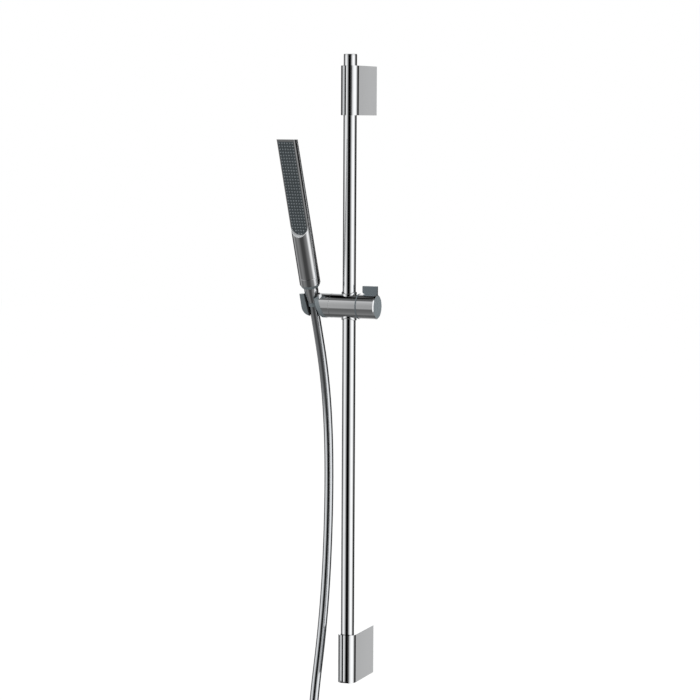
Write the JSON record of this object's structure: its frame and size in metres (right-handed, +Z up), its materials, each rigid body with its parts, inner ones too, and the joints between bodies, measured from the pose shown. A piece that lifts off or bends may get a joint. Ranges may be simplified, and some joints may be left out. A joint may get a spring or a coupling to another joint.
{
  "type": "shower slide rail",
  "caption": "Round wall-mounted rail on clamp brackets with a locking slider, tilting cup, stick hand shower and hose.",
  "frame": {"origin": "middle of the lower bracket's flat face against the wall", "axes": "+Z up along the rail, +Y into the wall, +X to the lock lever's side"},
  "size_m": [0.1355, 0.1993, 1.0438],
  "materials": {
    "chrome": "polished chrome plate",
    "satin_chrome": "satin chrome",
    "grey_plastic": "satin bluish grey",
    "face_rubber": "matt dark grey",
    "seal_rubber": "matt black",
    "white_plastic": "matt",
    "zinc": "bare die casting",
    "steel": "bright zinc plated",
    "brass": "machined",
    "hose_skin": "smooth metal-look plastic"
  },
  "bodies": {
    "rail": {"rail_tube": "chrome", "top_plug": "chrome", "bottom_plug": "chrome", "upper_bracket": "chrome", "lower_bracket": "chrome", "upper_wall_plate": "zinc", "lower_wall_plate": "zinc", "upper_plate_screw": "steel", "lower_plate_screw": "steel", "upper_tube_screw": "steel", "lower_tube_screw": "steel"},
    "carriage": {"upper_liner": "white_plastic", "lower_liner": "white_plastic"},
    "slider": {"slider_body": "chrome", "friction_ring": "grey_plastic", "lock_stub": "brass", "lock_clip": "steel", "tilt_washer": "steel"},
    "brake": {"brake_shoe": "white_plastic", "brake_spindle": "brass"},
    "lock": {"lock_collar": "chrome", "lock_hub": "brass", "end_cap": "satin_chrome"},
    "holder": {"holder_cup": "chrome", "holder_screw": "steel", "holder_o_ring": "seal_rubber", "handset_body": "chrome", "handset_end_ring": "chrome", "spray_mat": "face_rubber", "jet_plate": "white_plastic", "spray_seal": "seal_rubber", "inlet_spigot": "white_plastic", "inlet_washer": "seal_rubber", "flow_filter": "white_plastic", "cone_nut": "chrome", "hose_top_sleeve": "satin_chrome", "hose_tube": "hose_skin", "hose_coil": "hose_skin", "hose_tail": "hose_skin", "hose_tie": "seal_rubber", "hose_end_sleeve": "satin_chrome", "hose_nut": "chrome", "hose_washer": "seal_rubber"}
  },
  "joints": [
    {"name": "height", "type": "slide", "parent": "rail", "child": "carriage", "axis": [0, 0, 1], "range_m": [-0.425, 0.227]},
    {"name": "swivel", "type": "hinge", "parent": "carriage", "child": "slider", "pos_m": [0, -0.0675, 0.4845], "axis": [0, 0, 1], "range_deg": [-15, 60]},
    {"name": "tilt", "type": "hinge", "parent": "slider", "child": "holder", "pos_m": [-0.052, -0.0675, 0.4845], "axis": [1, 0, 0], "range_deg": [-20, 20]},
    {"name": "lock_turn", "type": "hinge", "parent": "slider", "child": "lock", "pos_m": [0, -0.0675, 0.4845], "axis": [1, 0, 0], "range_deg": [0, 80]},
    {"name": "brake_travel", "type": "slide", "parent": "slider", "child": "brake", "axis": [1, 0, 0], "range_m": [0, 0.0007]}
  ],
  "couplings": [
    {"joint": "brake_travel", "follows": "lock_turn", "m_per_rad": 0.0004775}
  ]
}
